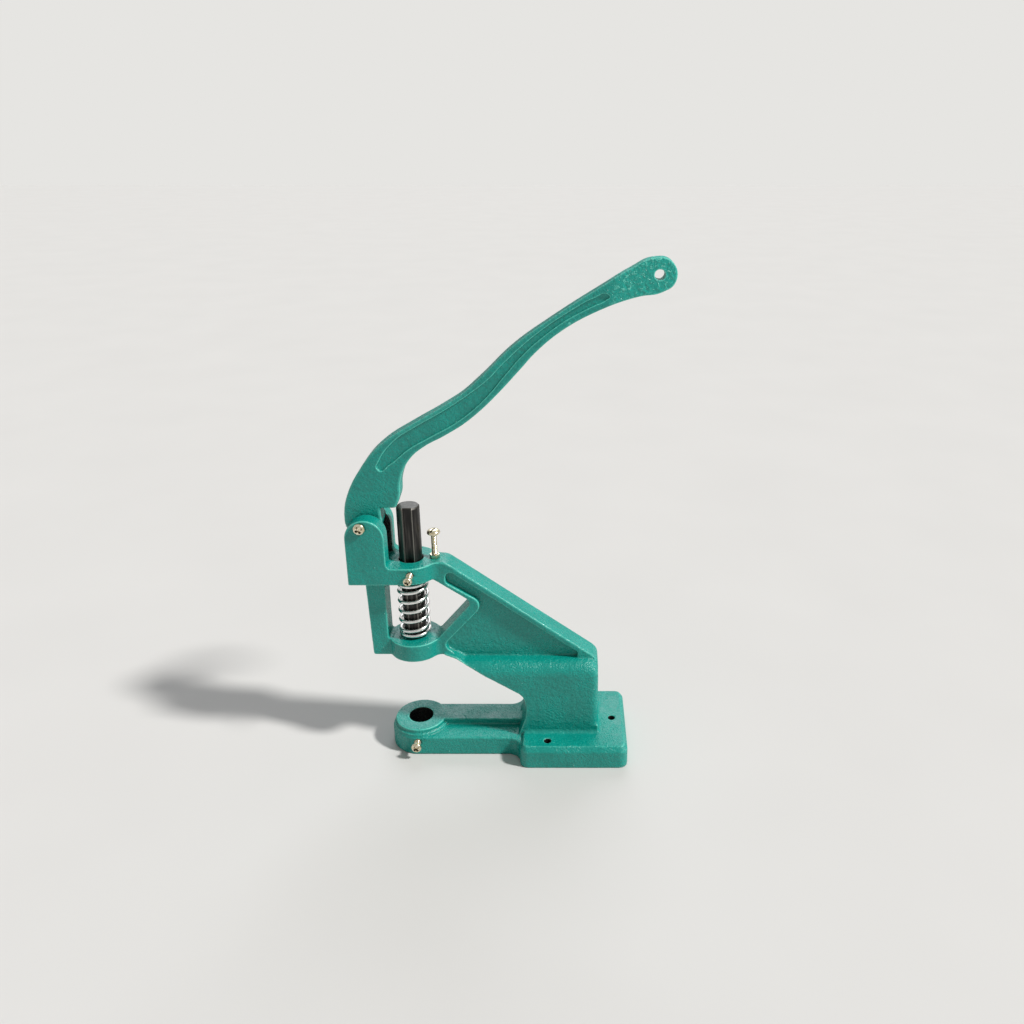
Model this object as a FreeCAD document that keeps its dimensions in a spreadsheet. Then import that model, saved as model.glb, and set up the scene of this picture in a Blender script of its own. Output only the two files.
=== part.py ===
"""Hand lever press for setting eyelets and snaps: one cast frame, a cast lever that
pushes a sprung round ram, and the screws that guide, clamp, stop and hold them.

Frame: origin on the axis of the lower die hole at the table, +X towards the rear of
the base, +Y away from the side with the screw heads, +Z up. Millimetres.
"""
import FreeCAD, Part
import math
import os

import Sketcher

doc = FreeCAD.newDocument("hand_press")
vector = FreeCAD.Vector

# Driving dimensions, in millimetres and degrees
DIMENSIONS = {
    # foot of the casting
    "base_left": 64.0,
    "base_right": 130.0,
    "base_half_width": 30.5,
    "base_side_height": 11.3,
    "base_bevel_height": 3.1,
    "base_bevel_angle": 34.0,
    "base_corner": 5.0,
    "arm_half_width": 17.7,
    "arm_height": 12.4,
    "arm_blend": 8.0,
    "rib_half_width": 4.1,
    "rib_height": 16.5,
    "bolt_side_x": 80.9,
    "bolt_side_y": 22.9,
    "bolt_rear_x": 121.2,
    "bolt_hole_radius": 2.1,
    # seat of the lower die
    "die_ring_radius": 17.0,
    "die_ring_height": 14.0,
    "die_boss_radius": 15.8,
    "die_boss_height": 16.75,
    "die_hole_radius": 7.5,
    # column, shoulder and sloping web
    "column_half_width": 15.0,
    "column_rear": 112.0,
    "foot_round": 2.5,
    "shoulder_height": 63.1,
    "shoulder_round": 8.0,
    "throat_slope": 0.62,
    "throat_corner_x": 66.0,
    "throat_corner_height": 40.7,
    "throat_corner_round": 9.0,
    "throat_back_x": 68.8,
    "throat_back_height": 29.5,
    "throat_back_round": 24.0,
    "throat_foot_x": 62.6,
    "web_half_width": 7.3,
    "web_recess_depth": 3.4,
    "web_rim": 4.45,
    "slope_start_x": 21.4,
    "slope_end_height": 62.6,
    "pillar_left": 27.2,
    "pillar_foot_left": 25.2,
    "pillar_right": 15.5,
    # window beside the spring, at the corners of its slanted edges
    "window_top_x": 12.7,
    "window_tip_x": 36.2,
    "window_tip_height": 101.7,
    "window_foot_x": 14.3,
    # the two bosses that guide the ram
    "guide_boss_radius": 15.9,
    "lower_boss_bottom": 65.6,
    "lower_boss_top": 76.6,
    "upper_boss_bottom": 117.6,
    "upper_boss_top": 128.2,
    "boss_blend": 5.0,
    "ram_bore_radius": 6.86,
    # fork that carries the lever
    "fork_left": 34.6,
    "fork_centre_x": 23.25,
    "fork_centre_height": 147.4,
    "fork_radius": 11.35,
    "fork_slot_half_width": 5.9,
    "pivot_x": 25.4,
    "pivot_height": 154.0,
    "pivot_hole_radius": 2.55,
    # lever
    "lever_half_thickness": 5.5,
    "lever_hub_radius": 10.8,
    "lever_nose_x": 6.0,
    "lever_nose_height": 162.3,
    "lever_tip_x": 142.0,
    "lever_tip_height": 295.6,
    "lever_tip_radius": 9.4,
    "lever_channel_depth": 2.4,
    "lever_edge_round": 0.9,
    "lever_hang_hole_radius": 2.9,
    # ram, its ring and washer
    "ram_radius": 6.8,
    "ram_bottom": 62.0,
    "ram_top": 162.0,
    "ram_groove_half_width": 2.7,
    "ram_groove_depth": 2.2,
    "ram_groove_x": 0.2,
    "ram_groove_bottom": 120.0,
    "ram_end_chamfer": 0.8,
    "ring_groove_radius": 6.1,
    "ring_inner_radius": 6.15,
    "ring_top": 117.4,
    "ring_thickness": 1.2,
    "ring_outer_radius": 8.6,
    "ring_mouth": 5.0,
    "washer_thickness": 1.2,
    "washer_inner_radius": 6.95,
    "washer_outer_radius": 9.4,
    "die_socket_radius": 3.4,
    "die_socket_depth": 16.0,
    # return spring
    "spring_wire_radius": 1.1,
    "spring_mean_radius": 8.55,
    "spring_closed_pitch": 2.75,
    "spring_turns": 6.9,
    "spring_closed_turns_below": 1.33,
    "spring_closed_turns_above": 1.0,
    "spring_start_angle": 83.0,
    # screws and nuts
    "screw_radius": 2.0,
    "screw_hole_radius": 2.05,
    "head_height": 2.2,
    "pivot_screw_radius": 2.5,
    "pivot_head_radius": 3.45,
    "pivot_nut_radius": 4.6,
    "pivot_nut_thickness": 4.0,
    "guide_screw_x": 1.5,
    "guide_screw_height": 124.0,
    "guide_screw_proud": 6.2,
    "guide_head_radius": 2.7,
    "guide_point_radius": 1.2,
    "clamp_screw_height": 9.0,
    "clamp_screw_proud": 4.4,
    "clamp_head_radius": 3.1,
    "stop_screw_x": 14.2,
    "stop_screw_radius": 1.75,
    "stop_hole_radius": 1.8,
    "stop_head_radius": 3.9,
    "stop_head_height": 2.6,
    "stop_head_bottom": 143.9,
    "stop_screw_end": 118.6,
    "stop_nut_radius": 3.0,
    "stop_nut_thickness": 2.4,
}

sheet = doc.addObject("Spreadsheet::Sheet", "Sizes")
for row, (alias, value) in enumerate(DIMENSIONS.items(), start=1):
    sheet.set("A%d" % row, alias.replace("_", " "))
    sheet.set("B%d" % row, str(value))
    sheet.setAlias("B%d" % row, alias)
doc.recompute()


def size(alias):
    """Value of one driving dimension, read from the sheet; a minus sign may lead."""
    if alias.startswith("-"):
        return -float(sheet.get(alias[1:]))
    return float(sheet.get(alias))


def cell(alias):
    """Expression that reads the dimension from the sheet."""
    if alias.startswith("-"):
        return "-Sizes." + alias[1:]
    return "Sizes." + alias


# Sketches and features


def make_body(label):
    part_body = doc.addObject("PartDesign::Body", label)
    part_body.Label = label
    return part_body


def origin_plane(part_body, role):
    for feature in part_body.Origin.OriginFeatures:
        if feature.Role == role:
            return feature
    raise ValueError("no plane " + role)


def make_sketch(part_body, name, role, offset=None):
    """Sketch on an origin plane of its own body, moved along the plane's normal."""
    sketch = part_body.newObject("Sketcher::SketchObject", name)
    sketch.AttachmentSupport = [(origin_plane(part_body, role), "")]
    sketch.MapMode = "FlatFace"
    if offset:
        sketch.setExpression("AttachmentOffset.Base.z", offset)
    return sketch


def rounded_outline(corners):
    """Lines and tangent arcs through corners given as (x, y, corner radius)."""
    starts, middles, ends = [], [], []
    count = len(corners)
    for index, (x, y, radius) in enumerate(corners):
        here = vector(x, y, 0)
        to_before = (vector(*corners[index - 1][:2], 0) - here).normalize()
        to_after = (vector(*corners[(index + 1) % count][:2], 0) - here).normalize()
        half_angle = to_before.getAngle(to_after) / 2
        reach = radius / math.tan(half_angle)
        bisector = (to_before + to_after).normalize()
        starts.append(here + to_before * reach)
        ends.append(here + to_after * reach)
        middles.append(here + bisector * (radius / math.sin(half_angle) - radius))
    shapes = []
    for index, corner in enumerate(corners):
        if corner[2] > 0:
            shapes.append(Part.Arc(starts[index], middles[index], ends[index]))
        following = starts[(index + 1) % count]
        if ends[index].distanceToPoint(following) > 1e-6:
            shapes.append(Part.LineSegment(ends[index], following))
    return shapes


def add_outline(sketch, corners):
    for shape in rounded_outline(corners):
        sketch.addGeometry(shape, False)


def bind(sketch, constraint, alias):
    index = sketch.addConstraint(constraint)
    sketch.setExpression("Constraints[%d]" % index, cell(alias))


def add_circle(sketch, radius, x=None, y=None):
    """Circle whose radius and centre are constraints driven by the sheet."""
    centre = vector(size(x) if x else 0, size(y) if y else 0, 0)
    circle = sketch.addGeometry(Part.Circle(centre, vector(0, 0, 1), size(radius)), False)
    bind(sketch, Sketcher.Constraint("Radius", circle, size(radius)), radius)
    if x:
        bind(sketch, Sketcher.Constraint("DistanceX", -1, 1, circle, 3, size(x)), x)
    else:
        sketch.addConstraint(Sketcher.Constraint("PointOnObject", circle, 3, -2))
    if y:
        bind(sketch, Sketcher.Constraint("DistanceY", -1, 1, circle, 3, size(y)), y)
    else:
        sketch.addConstraint(Sketcher.Constraint("PointOnObject", circle, 3, -1))


def extrude(part_body, kind, sketch, length, reverse=False, symmetric=False, taper=None):
    before = part_body.Shape.Volume if kind == "Pocket" else 0
    feature = part_body.newObject("PartDesign::" + kind, kind)
    feature.Profile = sketch
    if symmetric:
        feature.SideType = "Symmetric"
    feature.setExpression("Length", length)
    feature.Reversed = reverse
    if taper:
        feature.setExpression("TaperAngle", taper)
    doc.recompute()
    if feature.Shape.isNull():
        raise RuntimeError("no shape from " + sketch.Name)
    if kind == "Pocket" and not part_body.Shape.Volume < before - 0.01:
        raise RuntimeError("the pocket on " + sketch.Name + " cuts nothing")
    return feature


def pad(part_body, sketch, length, **options):
    return extrude(part_body, "Pad", sketch, length, **options)


def pocket(part_body, sketch, length, **options):
    return extrude(part_body, "Pocket", sketch, length, **options)


def dress(part_body, kind, amount, chosen):
    """Fillet or chamfer of those edges of the body for which chosen(edge) holds."""
    last = part_body.Tip
    names = [
        "Edge%d" % index
        for index, edge in enumerate(last.Shape.Edges, start=1)
        if not edge.Degenerated and chosen(edge)
    ]
    if not names:
        raise RuntimeError("no edge to dress on " + part_body.Label)
    feature = part_body.newObject("PartDesign::" + kind, kind)
    feature.Base = (last, names)
    feature.setExpression("Radius" if kind == "Fillet" else "Size", amount)
    doc.recompute()
    if feature.Shape.isNull() or "Invalid" in feature.State:
        raise RuntimeError("failed to dress %s with %s" % (part_body.Label, amount))
    return feature


def flat_at(edge, axis, value, tolerance=0.02):
    """True when the whole edge lies at one value of x, y or z."""
    box = edge.BoundBox
    low = getattr(box, axis.upper() + "Min")
    high = getattr(box, axis.upper() + "Max")
    return abs(low - value) < tolerance and abs(high - value) < tolerance


def along(edge, axis):
    """True for a straight edge parallel to the axis."""
    if edge.Curve.TypeId != "Part::GeomLine":
        return False
    return abs(abs(getattr(edge.Curve.Direction, axis)) - 1) < 1e-6


# Frame casting


def frame_casting():
    body = make_body("frame_casting")
    # The arm runs under the throat to the round nose that holds the lower die
    left = size("base_left")
    arm = size("arm_half_width")
    blend = size("arm_blend")
    arm_outline = make_sketch(body, "arm_outline", "XY_Plane")
    add_outline(arm_outline, [
        (-arm, -arm, arm),
        (left, -arm, blend),
        (left, -arm - blend, 0),
        (left + 2, -arm - blend + 1.5, 0),
        (left + 2, arm + blend - 1.5, 0),
        (left, arm + blend, 0),
        (left, arm, blend),
        (-arm, arm, arm),
    ])
    pad(body, arm_outline, cell("arm_height"))
    dress(body, "Chamfer", "0.7", lambda edge: (
        flat_at(edge, "z", size("arm_height")) and edge.BoundBox.XMax < left - 4
    ))

    right = size("base_right")
    half = size("base_half_width")
    corner = size("base_corner")
    base = [(left, -half, corner), (right, -half, corner), (right, half, corner), (left, half, corner)]
    plate = make_sketch(body, "base_outline", "XY_Plane")
    add_outline(plate, base)
    pad(body, plate, cell("base_side_height"))
    bevel = make_sketch(body, "bevel_outline", "XY_Plane", cell("base_side_height"))
    add_outline(bevel, base)
    pad(body, bevel, cell("base_bevel_height"), taper=cell("-base_bevel_angle"))

    rib = make_sketch(body, "rib_outline", "XY_Plane")
    rib_half = size("rib_half_width")
    inside = left + 4
    add_outline(rib, [(0, -rib_half, 0), (inside, -rib_half, 0), (inside, rib_half, 0), (0, rib_half, 0)])
    pad(body, rib, cell("rib_height"))

    for name in ("die_ring", "die_boss"):
        ring = make_sketch(body, name, "XY_Plane")
        add_circle(ring, name + "_radius")
        pad(body, ring, cell(name + "_height"))

    top = size("upper_boss_top")
    rear = size("column_rear")
    lower_bottom = size("lower_boss_bottom")
    shoulder = size("shoulder_height")
    slope = size("throat_slope")
    throat_x = size("throat_corner_x")
    throat_z = size("throat_corner_height")

    # Column below the web, with a round shoulder where the web meets it
    column_left = throat_x - (shoulder - throat_z) / slope
    column = make_sketch(body, "column_outline", "XZ_Plane")
    column_foot = size("arm_height") - 1
    add_outline(column, [
        (column_left, shoulder, 0),
        (throat_x, throat_z, size("throat_corner_round")),
        (size("throat_back_x"), size("throat_back_height"), size("throat_back_round")),
        (size("throat_foot_x"), column_foot, 0),
        (rear, column_foot, 0),
        (rear, shoulder, 0),
    ])
    pad(body, column, "2 * " + cell("column_half_width"), symmetric=True)
    dress(body, "Fillet", cell("shoulder_round"), lambda edge: (
        along(edge, "x")
        and flat_at(edge, "z", shoulder)
        and edge.Length > 30
        and abs(abs(edge.BoundBox.YMin) - size("column_half_width")) < 0.01
    ))
    foot_z = size("base_side_height") + size("base_bevel_height")
    dress(body, "Fillet", cell("foot_round"), lambda edge: (
        flat_at(edge, "z", foot_z) and edge.BoundBox.XMin > left and edge.BoundBox.XMax < rear + 0.1
        and edge.BoundBox.YMax < size("column_half_width") + 0.1
        and edge.BoundBox.YMin > -size("column_half_width") - 0.1
    ))

    # Pillar, bosses' webs and the sloping rear web, seen from the side
    throat_start_x = throat_x - (lower_bottom - throat_z) / slope
    side = make_sketch(body, "side_outline", "XZ_Plane")
    throat_mid_x = 52.0
    hidden_x = 70.0
    hidden_z = 48.0
    add_outline(side, [
        (-size("pillar_foot_left"), lower_bottom, 1.5),
        (-size("pillar_left"), top, 0),
        (size("slope_start_x"), top, 8),
        (rear, size("slope_end_height"), 10),
        (rear, hidden_z, 0),
        (hidden_x, hidden_z, 0),
        (throat_mid_x, throat_z + (throat_x - throat_mid_x) * slope, 0),
        (throat_start_x, lower_bottom, 3),
    ])
    window_x = size("window_tip_x")
    window_z = size("window_tip_height")
    lower_top = size("lower_boss_top")
    upper_bottom = size("upper_boss_bottom")
    add_outline(side, [
        (-size("pillar_right"), lower_top, 1.5),
        (-size("pillar_right"), upper_bottom, 1.5),
        (size("window_top_x"), upper_bottom, 6),
        (window_x, window_z, 3.5),
        (size("window_foot_x"), lower_top, 4),
    ])
    pad(body, side, "2 * " + cell("web_half_width"), symmetric=True)
    slope_length = math.hypot(rear - size("slope_start_x"), top - size("slope_end_height"))
    slope_sine = (top - size("slope_end_height")) / slope_length
    dress(body, "Fillet", "1.1", lambda edge: (
        edge.Curve.TypeId == "Part::GeomLine"
        and abs(abs(edge.Curve.Direction.z) - slope_sine) < 1e-3
        and edge.Length > 60
    ))

    # Recess in each side of the web, leaving a rim all round
    line_slope = (top - size("slope_end_height")) / (rear - size("slope_start_x"))

    def rim_height(x):
        return top - (x - size("slope_start_x")) * line_slope - size("web_rim")

    recess_left = 20.8
    recess_right = 99.3
    recess = [
        (recess_left, rim_height(recess_left), 3.0),
        (recess_right, rim_height(recess_right), 2.0),
        (recess_right, shoulder, 1.5),
        (28.0, shoulder, 4.0),
        (17.6, 71.8, 4.0),
        (43.6, 100.5, 6.0),
        (recess_left, 114.8, 2.8),
    ]
    for name, offset, reverse in (
        ("recess_front", cell("web_half_width"), False),
        ("recess_back", cell("-web_half_width"), True),
    ):
        outline = make_sketch(body, name, "XZ_Plane", offset)
        add_outline(outline, recess)
        pocket(body, outline, cell("web_recess_depth"), reverse=reverse)

    # Block that joins the fork, the pillar and the upper guide boss
    fork_left = size("fork_left")
    boss = size("guide_boss_radius")
    boss_web = size("web_half_width")
    boss_blend = size("boss_blend")
    blend_x = math.sqrt((boss + boss_blend) ** 2 - (boss_web + boss_blend) ** 2)
    touch = boss / (boss + boss_blend)
    blend_point = (blend_x * touch, (boss_web + boss_blend) * touch)

    def boss_nose(sign):
        """Round end of a boss, blended into the web on its +X side."""
        tangent = vector(blend_point[0], sign * blend_point[1], 0)
        centre = vector(blend_x, sign * (boss_web + boss_blend), 0)
        foot = vector(blend_x, sign * boss_web, 0)
        middle_way = ((tangent + foot) * 0.5 - centre).normalize()
        return tangent, centre + middle_way * boss_blend, foot

    near = boss_nose(-1)
    far = boss_nose(1)
    angle = math.atan2(blend_point[1], blend_point[0]) / 2 + math.pi / 4

    block = make_sketch(body, "block_outline", "XY_Plane", cell("upper_boss_bottom"))
    quarter = vector(boss * math.cos(angle), boss * math.sin(angle), 0)
    for shape in (
        Part.LineSegment(vector(-fork_left, boss, 0), vector(-fork_left, -boss, 0)),
        Part.LineSegment(vector(-fork_left, -boss, 0), vector(0, -boss, 0)),
        Part.Arc(vector(0, -boss, 0), vector(quarter.x, -quarter.y, 0), near[0]),
        Part.Arc(*near),
        Part.LineSegment(near[2], far[2]),
        Part.Arc(far[2], far[1], far[0]),
        Part.Arc(far[0], quarter, vector(0, boss, 0)),
        Part.LineSegment(vector(0, boss, 0), vector(-fork_left, boss, 0)),
    ):
        block.addGeometry(shape, False)
    pad(body, block, cell("upper_boss_top") + " - " + cell("upper_boss_bottom"))

    lower = make_sketch(body, "lower_boss_outline", "XY_Plane", cell("lower_boss_bottom"))
    for shape in (
        Part.Arc(far[0], vector(-boss, 0, 0), near[0]),
        Part.Arc(*near),
        Part.LineSegment(near[2], far[2]),
        Part.Arc(far[2], far[1], far[0]),
    ):
        lower.addGeometry(shape, False)
    pad(body, lower, cell("lower_boss_top") + " - " + cell("lower_boss_bottom"))

    # Fork: a round-topped cheek on each side of a slot for the lever
    fork_x = size("fork_centre_x")
    fork_radius = size("fork_radius")
    fork_top = size("fork_centre_height") + fork_radius
    fork_right = fork_radius - fork_x
    fork = make_sketch(body, "fork_outline", "XZ_Plane")
    add_outline(fork, [
        (-fork_left, top - 4, 0),
        (fork_right + 3, top - 4, 0),
        (fork_right + 3, top, 0),
        (fork_right, top, 2.9),
        (fork_right, fork_top, fork_radius),
        (-fork_left, fork_top, fork_radius),
    ])
    pad(body, fork, "2 * " + cell("guide_boss_radius"), symmetric=True)
    slot = make_sketch(body, "slot_outline", "XZ_Plane")
    add_outline(slot, [
        (-fork_left - 5, top, 0),
        (fork_right + 5, top, 0),
        (fork_right + 5, fork_top + 5, 0),
        (-fork_left - 5, fork_top + 5, 0),
    ])
    pocket(body, slot, "2 * " + cell("fork_slot_half_width"), symmetric=True)

    # Holes
    bore = make_sketch(body, "ram_bore", "XY_Plane", cell("lower_boss_bottom") + " - 1")
    add_circle(bore, "ram_bore_radius")
    pocket(body, bore, cell("upper_boss_top") + " - " + cell("lower_boss_bottom") + " + 2", reverse=True)
    die_hole = make_sketch(body, "die_hole", "XY_Plane")
    add_circle(die_hole, "die_hole_radius")
    pocket(body, die_hole, cell("die_boss_height") + " + 1", reverse=True)
    bolts = make_sketch(body, "bolt_holes", "XY_Plane")
    add_circle(bolts, "bolt_hole_radius", "bolt_side_x", "bolt_side_y")
    add_circle(bolts, "bolt_hole_radius", "bolt_side_x", "-bolt_side_y")
    add_circle(bolts, "bolt_hole_radius", "bolt_rear_x")
    pocket(body, bolts, cell("die_boss_height") + " + 1", reverse=True)
    pivot = make_sketch(body, "pivot_hole", "XZ_Plane")
    add_circle(pivot, "pivot_hole_radius", "-pivot_x", "pivot_height")
    pocket(body, pivot, "2 * " + cell("guide_boss_radius") + " + 2", symmetric=True)
    guide = make_sketch(body, "guide_screw_hole", "XZ_Plane")
    add_circle(guide, "screw_hole_radius", "guide_screw_x", "guide_screw_height")
    pocket(body, guide, cell("guide_boss_radius") + " + 1", reverse=True)
    clamp = make_sketch(body, "clamp_screw_hole", "XZ_Plane")
    add_circle(clamp, "screw_hole_radius", None, "clamp_screw_height")
    pocket(body, clamp, cell("arm_half_width") + " + 1", reverse=True)
    stop = make_sketch(body, "stop_screw_hole", "XY_Plane", cell("stop_screw_end") + " - 10")
    add_circle(stop, "stop_hole_radius", "stop_screw_x")
    pocket(body, stop, "25", reverse=True)
    return body


# Lever


def biarc(start, start_way, end, end_way):
    """Two arcs that meet smoothly and leave and arrive along the given directions."""
    chord = end - start
    ways = start_way + end_way
    spread = 2 * (1 - start_way.dot(end_way))
    reach = (-chord.dot(ways) + math.sqrt(chord.dot(ways) ** 2 + spread * chord.dot(chord))) / spread
    joint = (start + end + (start_way - end_way) * reach) * 0.5
    pieces = []
    for first, corner, second in (
        (start, start + start_way * reach, joint),
        (joint, end - end_way * reach, end),
    ):
        middle = (first + second) * 0.5
        half = first.distanceToPoint(second) / 2
        rise = corner.distanceToPoint(middle)
        radius = half * corner.distanceToPoint(first) / rise
        through = middle + (corner - middle) * ((radius - math.sqrt(radius ** 2 - half ** 2)) / rise)
        pieces.append(Part.Arc(first, through, second))
    return pieces


def smooth_arcs(places, first_way=None, last_way=None):
    """Chain of tangent arcs through points of a sketch, smooth at every point."""
    points = [vector(x, y, 0) for x, y in places]
    ways = []
    for index in range(len(points)):
        before = points[max(index - 1, 0)]
        after = points[min(index + 1, len(points) - 1)]
        here = points[index]
        if index in (0, len(points) - 1):
            ways.append((after - before).normalize())
            continue
        back = (here - before) * (1 / here.distanceToPoint(before) ** 2)
        ahead = (after - here) * (1 / here.distanceToPoint(after) ** 2)
        ways.append((back + ahead).normalize())
    if first_way:
        ways[0] = vector(*first_way, 0).normalize()
    if last_way:
        ways[-1] = vector(*last_way, 0).normalize()
    arcs = []
    for index in range(len(points) - 1):
        arcs += biarc(points[index], ways[index], points[index + 1], ways[index + 1])
    return arcs


def lever():
    body = make_body("lever")
    pivot_x = -size("pivot_x")
    pivot_z = size("pivot_height")
    hub = size("lever_hub_radius")
    nose_x = -size("lever_nose_x")
    nose_z = size("lever_nose_height")
    tip = vector(size("lever_tip_x"), size("lever_tip_height"), 0)
    tip_radius = size("lever_tip_radius")

    # Side outline: hub, nose over the ram, S-shaped arm and rounded thumb paddle
    notch_x = -15.0
    notch_z = pivot_z + math.sqrt(hub ** 2 - (notch_x - pivot_x) ** 2)
    arm = [
        (nose_x + 0.6, nose_z + 1.0),
        (-3.2, 170.0),
        (-2.4, 178.5),
        (0.4, 186.8),
        (5.8, 194.5),
        (13.5, 200.4),
        (23.6, 205.8),
        (35.5, 213.2),
        (46.0, 221.9),
        (56.5, 232.4),
        (66.8, 243.7),
        (76.5, 254.4),
        (88.1, 264.2),
        (98.0, 270.6),
        (110.2, 276.6),
        (120.0, 280.6),
        (131.0, 283.9),
    ]
    for degrees in (-80, -35, 14, 62, 110):
        angle = math.radians(degrees)
        arm.append((tip.x + tip_radius * math.cos(angle), tip.y + tip_radius * math.sin(angle)))
    arm += [
        (125.1, 298.1),
        (112.9, 290.6),
        (88.0, 274.8),
        (62.7, 256.7),
        (44.3, 238.9),
        (35.0, 230.6),
        (23.1, 222.8),
        (8.2, 214.2),
        (-9.5, 203.1),
        (-17.2, 196.2),
        (-23.8, 187.7),
        (-31.5, 174.9),
        (-35.6, 162.6),
    ]
    arm.append((pivot_x - hub, pivot_z))
    hub_low = vector(pivot_x, pivot_z - hub, 0)
    notch_low = vector(notch_x, notch_z, 0)
    notch_high = vector(notch_x, nose_z, 0)
    nose_low = vector(nose_x - 0.6, nose_z, 0)
    outline = make_sketch(body, "lever_outline", "XZ_Plane")
    for shape in smooth_arcs(arm, (0.3, 1), (0, -1)) + [
        Part.Arc(vector(*arm[-1], 0), hub_low, notch_low),
        Part.LineSegment(notch_low, notch_high),
        Part.LineSegment(notch_high, nose_low),
        Part.LineSegment(nose_low, vector(*arm[0], 0)),
    ]:
        outline.addGeometry(shape, False)
    pad(body, outline, "2 * " + cell("lever_half_thickness"), symmetric=True)

    half_thickness = size("lever_half_thickness")
    dress(body, "Chamfer", cell("lever_edge_round"), lambda edge: (
        flat_at(edge, "y", half_thickness) or flat_at(edge, "y", -half_thickness)
    ))

    # Shallow channel along each side of the arm
    upper = [
        (-15.4, 187.9),
        (-10.4, 196.4),
        (-3.3, 204.0),
        (8.8, 211.8),
        (24.5, 220.8),
        (38.8, 230.2),
        (49.1, 238.2),
        (59.4, 248.8),
        (69.6, 258.2),
        (82.0, 268.0),
        (94.3, 276.1),
        (107.6, 283.4),
        (114.0, 285.4),
    ]
    lower = [
        (114.0, 282.6),
        (106.5, 279.0),
        (91.8, 271.2),
        (81.9, 264.2),
        (69.4, 253.3),
        (59.2, 241.8),
        (50.0, 230.6),
        (40.9, 221.6),
        (30.3, 213.6),
        (17.1, 206.2),
        (3.8, 198.6),
        (-8.4, 188.8),
    ]
    for name, offset, reverse in (
        ("channel_front", cell("lever_half_thickness"), False),
        ("channel_back", cell("-lever_half_thickness"), True),
    ):
        channel = make_sketch(body, name, "XZ_Plane", offset)
        for shape in smooth_arcs(upper + [(115.6, 284.1)] + lower + [(-13.8, 185.6), upper[0]]):
            channel.addGeometry(shape, False)
        pocket(body, channel, cell("lever_channel_depth"), reverse=reverse)

    # Bore for the pivot screw and hole to hang the lever by
    holes = make_sketch(body, "lever_holes", "XZ_Plane")
    add_circle(holes, "pivot_hole_radius", "-pivot_x", "pivot_height")
    add_circle(holes, "lever_hang_hole_radius", "lever_tip_x", "lever_tip_height")
    pocket(body, holes, "2 * " + cell("lever_half_thickness") + " + 2", symmetric=True)
    return body


# Ram with its ring and washer


def ram():
    body = make_body("ram")
    bottom = size("ram_bottom")
    top = size("ram_top")
    radius = size("ram_radius")
    chamfer = size("ram_end_chamfer")
    socket = size("die_socket_radius")
    socket_top = bottom + size("die_socket_depth")
    groove = size("ring_groove_radius")
    ring_top = size("ring_top")
    ring_bottom = ring_top - size("ring_thickness")
    profile = make_sketch(body, "ram_profile", "XZ_Plane")
    add_outline(profile, [
        (0, socket_top + 1.4, 0),
        (socket, socket_top, 0),
        (socket, bottom, 0),
        (radius - chamfer, bottom, 0),
        (radius, bottom + chamfer, 0),
        (radius, ring_bottom, 0),
        (groove, ring_bottom, 0),
        (groove, ring_top, 0),
        (radius, ring_top, 0),
        (radius, top - chamfer, 0),
        (radius - chamfer, top, 0),
        (0, top, 0),
    ])
    turned = body.newObject("PartDesign::Revolution", "Revolution")
    turned.Profile = profile
    turned.ReferenceAxis = (profile, ["V_Axis"])
    turned.Angle = 360
    doc.recompute()

    # Keyway that the guide screw runs in
    half = size("ram_groove_half_width")
    middle = size("ram_groove_x")
    keyway_bottom = size("ram_groove_bottom")
    keyway = make_sketch(body, "keyway", "XZ_Plane", cell("ram_radius") + " - " + cell("ram_groove_depth"))
    add_outline(keyway, [
        (middle - half, top + 1, 0),
        (middle - half, keyway_bottom, half),
        (middle + half, keyway_bottom, half),
        (middle + half, top + 1, 0),
    ])
    pocket(body, keyway, cell("ram_groove_depth") + " + 1", reverse=True)
    return body


def flat_ring(label, start, thickness, outer, inner, mouth=None):
    body = make_body(label)
    outline = make_sketch(body, label + "_outline", "XY_Plane", start)
    add_circle(outline, outer)
    add_circle(outline, inner)
    pad(body, outline, thickness)
    if mouth:
        half = size(mouth) / 2
        opening = make_sketch(body, label + "_mouth", "XY_Plane", start)
        add_outline(opening, [(0, -half, 0), (20, -half, 0), (20, half, 0), (0, half, 0)])
        pocket(body, opening, thickness, reverse=True)
    return body


# Screws and nuts


def screw(label, role, stages, head_round):
    """Turned piece of pads along a plane's normal; the last one is the head."""
    body = make_body(label)
    for name, start, length, radius, x, y in stages:
        outline = make_sketch(body, label + "_" + name, role, start)
        add_circle(outline, radius, x, y)
        pad(body, outline, length)
    shape = body.Shape
    face_edges = [edge for edge in shape.Edges if edge.Curve.TypeId == "Part::GeomCircle"]
    normal = "z" if role == "XY_Plane" else "y"
    ends = [getattr(edge.CenterOfMass, normal) for edge in face_edges]
    end = max(ends) if normal == "z" else min(ends)
    dress(body, "Chamfer", head_round, lambda edge: flat_at(edge, normal, end))
    return body


def nut(label, role, start, thickness, radius, hole, x, y=None):
    body = make_body(label)
    outline = make_sketch(body, label + "_outline", role, start)
    centre = vector(size(x), size(y) if y else 0, 0)
    corners = []
    for step in range(6):
        angle = math.radians(60 * step)
        corners.append((
            centre.x + size(radius) * math.cos(angle),
            centre.y + size(radius) * math.sin(angle),
            0.35,
        ))
    add_outline(outline, corners)
    add_circle(outline, hole, x, y)
    pad(body, outline, thickness)
    return body


# Return spring


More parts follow.
